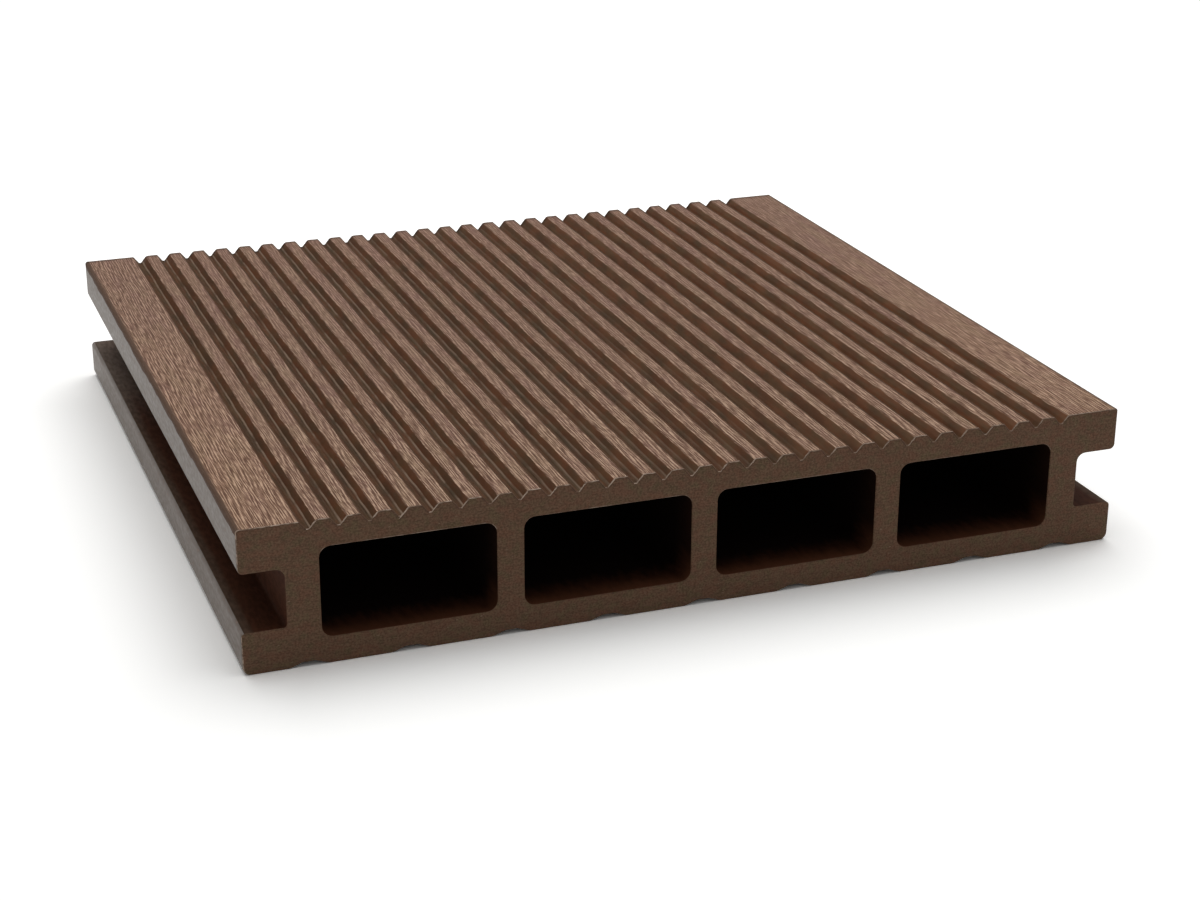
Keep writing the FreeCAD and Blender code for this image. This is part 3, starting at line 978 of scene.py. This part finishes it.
def groove_colour(nodes, across):
    """Brown at the root, lighter up to a thin pale line, then reddish and dark to the lip, partly painted
    shade.
    """
    home = nodes.painted("home")
    waver = nodes.swing(*GROOVE_WAVER)
    line_at = nodes.total(nodes.product(home, LINE_DRIFT), LINE_PLACE)
    past_line = nodes.total(nodes.math("SUBTRACT", across, line_at), waver)
    past_root = nodes.ramp(nodes.total(across, waver), *ROOT_RANGE)
    lower_flank = nodes.mix(nodes.ramp(home, *LOWER_FLANK_ACROSS), LOWER_FLANK_LEFT, LOWER_FLANK_RIGHT)
    # The upper flank's colour carries painted shade.
    flank = nodes.mix(nodes.ramp(home, *FLANK_ACROSS), SHADED_FLANK_LEFT, SHADED_FLANK_RIGHT)
    colour = nodes.mix(past_root, ROOT_BROWN, lower_flank)
    colour = nodes.mix(nodes.ramp(past_line, *FLANK_RANGE), colour, flank)
    patches = nodes.patches(*GROOVE_PATCHES)
    colour = nodes.tinted(colour, patches, GROOVE_DARK_TINT, GROOVE_LIGHT_TINT)
    reddish = nodes.patches(*GROOVE_HUE_PATCHES)
    colour = nodes.tinted(colour, reddish, GROOVE_OLIVE_TINT, GROOVE_RED_TINT)
    return nodes.mix(groove_line(nodes, past_line), colour, ROOT_LINE)


def brushed_share(nodes, across, ragged):
    """1 on the ribs and strips and a little way over the grooves' lips, and 0 in the grooves."""
    over_right_lip = nodes.ramp(nodes.total(across, ragged), *RIGHT_LIP_RANGE)
    drift = nodes.product(nodes.painted("home"), LEFT_LIP_DRIFT)
    drifted = nodes.math("SUBTRACT", across, drift)
    over_left_lip = nodes.rest(nodes.ramp(drifted, *LEFT_LIP_RANGE))
    return nodes.math("MAXIMUM", over_right_lip, over_left_lip)


def tread_material():
    """The tread: brushed and pale between the grooves, dark in them, with a brown round along its sides and
    painted shade along its far cut.
    """
    nodes = MaterialNodes("composite_tread")
    scratches = brush_scratches(swaying(nodes))
    across = place_in_groove(nodes)
    ragged = nodes.swing(*RAGGEDNESS)
    brushed = brushed_share(nodes, across, ragged)
    # Pale patches on the ribs' left lips: partly wear, partly a painted highlight.
    wear_and_highlight = nodes.patches(*PALE_LIP_PATCHES)
    pale_lip = nodes.product(nodes.between(across, *PALE_LIP_SPAN), wear_and_highlight, PALE_LIP_SHARE)
    top = nodes.mix(pale_lip, brushed_colour(nodes, scratches), BRUSHED_PALE)
    colour = nodes.mix(brushed, groove_colour(nodes, across), top)
    from_middle = nodes.total(nodes.math("ABSOLUTE", nodes.painted("home")), ragged)
    colour = nodes.mix(nodes.ramp(from_middle, *SIDE_EDGE_RANGE), colour, SIDE_EDGE_BROWN)
    # Painted shade darkens the last stretch of the tread at the far cut.
    far_rim_shade = nodes.ramp(nodes.part("Y"), HALF_LENGTH - FAR_RIM_WIDTH, HALF_LENGTH - EDGE_BREAK)
    colour = nodes.tinted(colour, far_rim_shade, WHITE, FAR_RIM_PAINTED_SHADE)
    skin = nodes.noise(*SKIN)
    nodes.set_surface(colour, nodes.spread(skin, NOISE_USUAL, *TREAD_ROUGHNESS), TREAD_SPECULAR)
    brush_height = nodes.product(scratches, brushed)
    skin_height = nodes.product(skin, SKIN_SHARE)
    nodes.set_bump(nodes.total(brush_height, skin_height), *TREAD_BUMP)
    return nodes.material


def smooth_material():
    """The smooth extruded skin of the sides and the underside, greyish where light glances off it."""
    nodes = MaterialNodes("composite_smooth_skin")
    streaks = nodes.patches(*SIDE_STREAKS)
    mottle = nodes.noise(*SIDE_MOTTLE)
    skin = nodes.mix(streaks, SIDE_BROWN, SIDE_GREY)
    skin = nodes.mix(nodes.ramp(mottle, *SIDE_ROSE_RANGE), skin, BRUSHED_ROSE)
    nodes.set_surface(skin, nodes.spread(mottle, NOISE_USUAL, *SIDE_ROUGHNESS), SIDE_SPECULAR)
    nodes.set_bump(mottle, *SIDE_BUMP)
    return nodes.material


def slot_material():
    """The slots along the sides: dull and reddish brown, with painted shade deep inside, a little lighter
    near their mouths, and greyer towards the far end by painted light."""
    nodes = MaterialNodes("composite_slot_wall")
    streaks = nodes.noise(*SLOT_STREAKS)
    mottle = nodes.noise(*SLOT_MOTTLE)
    from_middle = nodes.math("ABSOLUTE", nodes.part("X"))
    outer = nodes.total(from_middle, nodes.around_zero(streaks, SLOT_STREAK_REACH))
    # Painted shade darkens the inner part of the slot, and painted light greys it towards the far end.
    shaded_slot = nodes.mix(nodes.ramp(outer, *SLOT_OUTER_RANGE), SLOT_SHADE_BROWN, SLOT_OUTER)
    far_lit_slot = nodes.mix(nodes.ramp(outer, *FAR_LIGHT_OUTER_RANGE), SLOT_FAR_LIT, SLOT_OUTER_FAR_LIT)
    far_light_reach = nodes.total(nodes.part("Y"), nodes.around_zero(streaks, FAR_LIGHT_STREAK_REACH))
    skin = nodes.mix(nodes.ramp(far_light_reach, *FAR_LIGHT_ALONG), shaded_slot, far_lit_slot)
    skin = nodes.tinted(skin, nodes.ramp(mottle, *SLOT_MOTTLE_RANGE), SLOT_DARK_TINT, SLOT_LIGHT_TINT)
    nodes.set_surface(skin, *SLOT_SURFACE)
    nodes.set_bump(mottle, *SLOT_BUMP)
    return nodes.material


def inside_material():
    """The chambers' walls: dull and nearly black by painted shade, with painted reddish light on the floor
    near their mouths.
    """
    nodes = MaterialNodes("composite_chamber_wall")
    from_mouth = nodes.math("SUBTRACT", HALF_LENGTH, nodes.math("ABSOLUTE", nodes.part("Y")))
    mouth_noise = nodes.noise(*MOUTH_NOISE)
    reach = nodes.total(from_mouth, nodes.around_zero(mouth_noise, MOUTH_LIGHT_REACH))
    above_floor = nodes.ramp(nodes.part("Z"), *MOUTH_LIGHT_UP_RANGE)
    # Painted reddish light on the floor near the mouth, and painted shade everywhere else.
    mouth = nodes.mix(nodes.product(above_floor, MOUTH_LIGHT_LOST_ABOVE), MOUTH_PAINTED_LIGHT, DEEP_PAINTED_SHADE)
    colour = nodes.mix(nodes.ramp(reach, *MOUTH_LIGHT_IN_RANGE), mouth, DEEP_PAINTED_SHADE)
    nodes.set_surface(colour, *INSIDE_SURFACE)
    nodes.set_bump(mouth_noise, *INSIDE_BUMP)
    return nodes.material


def sawn_colour(nodes, grain):
    """Brown with red and olive blotches, pale fibres, and the grain and marks that the saw left."""
    blotches = nodes.noise(*SAWN_BLOTCHES)
    marks = nodes.noise(*SAWN_MARKS)
    fibres = nodes.patches(*SAWN_FIBRES)
    base = nodes.mix(nodes.ramp(blotches, *SAWN_BROWN_RANGE), SAWN_RED, SAWN_BROWN)
    base = nodes.mix(nodes.ramp(blotches, *SAWN_OLIVE_RANGE), base, SAWN_OLIVE)
    speckled = nodes.mix(fibres, base, SAWN_FLECK)
    grain_part = nodes.product(grain, SAWN_GRAIN_SHARE)
    texture = nodes.total(grain_part, nodes.product(marks, SAWN_MARK_SHARE))
    return nodes.tinted(speckled, nodes.ramp(texture, *SAWN_TEXTURE_RANGE), SAWN_DARK_TINT, SAWN_LIGHT_TINT)


def sawn_material():
    """The cut ends: matt, with fine sawdust, and a painted shadow just under the tread's lips."""
    nodes = MaterialNodes("composite_sawn")
    grain = nodes.noise(*SAWN_GRAIN)
    # Painted shadow on the sawn face's rim just under the tread's lips.
    on_ribs = nodes.ramp(nodes.part("Z"), *UNDER_LIP_SHADOW_RANGE)
    under_lip_shadow = nodes.product(nodes.painted("rim"), on_ribs, UNDER_LIP_SHADOW_SHARE)
    colour = nodes.mix(under_lip_shadow, sawn_colour(nodes, grain), UNDER_LIP_PAINTED_SHADOW)
    nodes.set_surface(colour, *SAWN_SURFACE)
    nodes.set_bump(grain, *SAWN_BUMP)
    return nodes.material


def pale_left(nodes, share):
    """The share of a pale colour that is left: all of it at the left, and less at the right."""
    lost = nodes.product(nodes.ramp(nodes.part("X"), *PALE_LOSS_ACROSS), PALE_LOSS)
    return nodes.product(share, nodes.rest(lost))


def edge_material():
    """The broken edges of the cuts, scuffed paler than the faces beside them."""
    nodes = MaterialNodes("composite_broken_edge")
    scuffs = nodes.patches(*SCUFFS)
    colour = nodes.mix(pale_left(nodes, scuffs), SAWN_BROWN, EDGE_PALE)
    nodes.set_surface(colour, *EDGE_SURFACE)
    return nodes.material


def burr_material():
    """Slivers that the saw pulled off, paler than the board."""
    nodes = MaterialNodes("composite_burr")
    pale = nodes.mix(nodes.patches(*BURR_PATCHES), EDGE_PALE, BURR_PALE)
    colour = nodes.mix(pale_left(nodes, 1.0), SAWN_BROWN, pale)
    nodes.set_surface(colour, *BURR_SURFACE)
    return nodes.material


def make_board():
    """The board's visible mesh, which stands for its solid."""
    board = BoardMesh()
    outside = board_outline()
    near_ring, far_ring = add_outside(board, outside)
    near_rings = [(near_ring, len(outside))]
    far_rings = [(far_ring, len(outside))]
    for i, centre in enumerate(CHAMBER_CENTRES):
        chamber = chamber_outline(centre)
        near, far = add_chamber(board, chamber, CHAMBER_EDGE_SEED + 2 * i)
        near_rings.append((near, len(chamber)))
        far_rings.append((far, len(chamber)))
    add_end(board, near_rings, faces_along=False)
    add_end(board, far_rings, faces_along=True)
    add_slivers(board)
    materials = [
        tread_material(),
        smooth_material(),
        slot_material(),
        inside_material(),
        sawn_material(),
        edge_material(),
        burr_material(),
    ]
    made = board.object("grooved_board", materials)
    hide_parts(NODE)
    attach(made, "root")


def turn_towards(place, aim):
    """The turn with which a camera or a lamp at a place looks at its aim."""
    return (aim - place).to_track_quat("-Z", "Y")


def make_camera():
    """The photograph's view."""
    data = bpy.data.cameras.new("camera")
    data.lens = CAMERA_LENS
    data.sensor_width = SENSOR_WIDTH
    data.clip_start = CLIP_START
    camera = bpy.data.objects.new("camera", data)
    camera.location = CAMERA_AT
    camera.rotation_mode = "QUATERNION"
    camera.rotation_quaternion = turn_towards(CAMERA_AT, CAMERA_AIM) @ Quaternion((0, 0, 1), CAMERA_ROLL)
    bpy.context.scene.collection.objects.link(camera)
    bpy.context.scene.camera = camera


def make_floor():
    """A pale floor that renders white where it is lit and keeps the board's shadow.

    What is seen of it is brighter by an even share, and the light that it gives back stays plain.
    """
    bpy.ops.mesh.primitive_plane_add(size=FLOOR_SIZE)
    floor = bpy.context.object
    floor.name = "floor"
    nodes = MaterialNodes("floor")
    nodes.set_surface(FLOOR_COLOUR, *FLOOR_SURFACE)
    gain = nodes.product(nodes.seen_directly(), FLOOR_SEEN_GAIN)
    extra_colour = nodes.make("ShaderNodeVectorMath", {0: FLOOR_COLOUR, "Scale": gain}, operation="SCALE")
    extra = nodes.make("ShaderNodeBsdfDiffuse", {"Color": extra_colour.outputs[0]})
    near = nodes.make("ShaderNodeAddShader", {0: nodes.shader.outputs[0], 1: extra.outputs[0]})
    distance = nodes.make("ShaderNodeVectorMath", {0: nodes.place}, operation="LENGTH")
    far_share = nodes.ramp(distance.outputs["Value"], *FLOOR_WHITE_DISTANCES)
    white_share = nodes.product(far_share, nodes.seen_directly())
    far = nodes.make("ShaderNodeEmission", {"Color": WHITE, "Strength": 1.0})
    surface = nodes.make("ShaderNodeMixShader", {0: white_share, 1: near.outputs[0], 2: far.outputs[0]})
    nodes.put(surface.outputs[0], nodes.tree.nodes["Material Output"].inputs["Surface"])
    floor.data.materials.append(nodes.material)


def make_world():
    """Even studio light, and a white surround where it is seen."""
    world = bpy.data.worlds.new("studio")
    world.use_nodes = True
    nodes = Nodes(world.node_tree)
    background = world.node_tree.nodes["Background"]
    nodes.put(WHITE, background.inputs["Color"])
    level = nodes.spread(nodes.seen_directly(), (0.0, 1.0), WORLD_LIGHT, 1.0)
    nodes.put(level, background.inputs["Strength"])
    bpy.context.scene.world = world


def make_lamp():
    """A square soft lamp above the board and behind it."""
    data = bpy.data.lights.new("top_softbox", "AREA")
    data.size = LAMP_SIZE
    data.energy = LAMP_POWER
    lamp = bpy.data.objects.new("top_softbox", data)
    lamp.location = LAMP_AT
    lamp.rotation_mode = "QUATERNION"
    lamp.rotation_quaternion = turn_towards(LAMP_AT, LAMP_AIM)
    bpy.context.scene.collection.objects.link(lamp)


def main():
    """Builds the scene."""
    make_camera()
    make_world()
    make_floor()
    make_lamp()
    make_board()
    bpy.context.scene.view_settings.view_transform = "Standard"


main()
